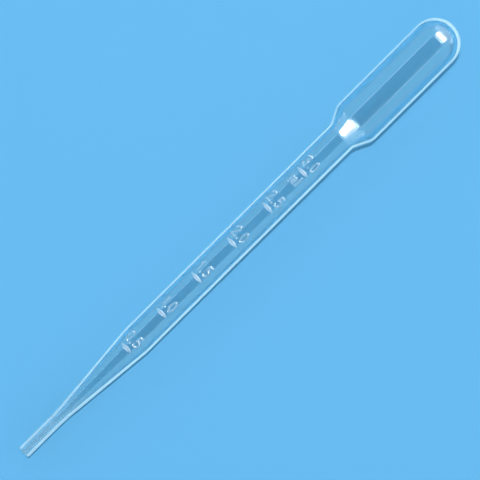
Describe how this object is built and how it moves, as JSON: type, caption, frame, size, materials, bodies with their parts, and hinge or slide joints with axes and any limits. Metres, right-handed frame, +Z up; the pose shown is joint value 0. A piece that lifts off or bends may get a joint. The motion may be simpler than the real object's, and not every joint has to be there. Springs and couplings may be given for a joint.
{
  "type": "transfer pipette",
  "caption": "See-through moulded plastic dropper pipette: drawn-out tip, round stem with raised graduation bars, and a domed squeeze bulb, lying on its side.",
  "frame": {"origin": "on the surface it lies on, at the middle of its footprint", "axes": "+X from the open tip towards the squeeze bulb, +Z up; the pipette's own axis rises 1.7 degrees towards the bulb, and the graduation faces up, rolled 8 degrees towards +Y"},
  "size_m": [0.155, 0.013, 0.0138],
  "materials": {
    "clear_plastic": "gloss"
  },
  "bodies": {
    "root": {"pipette": "clear_plastic"}
  },
  "joints": []
}
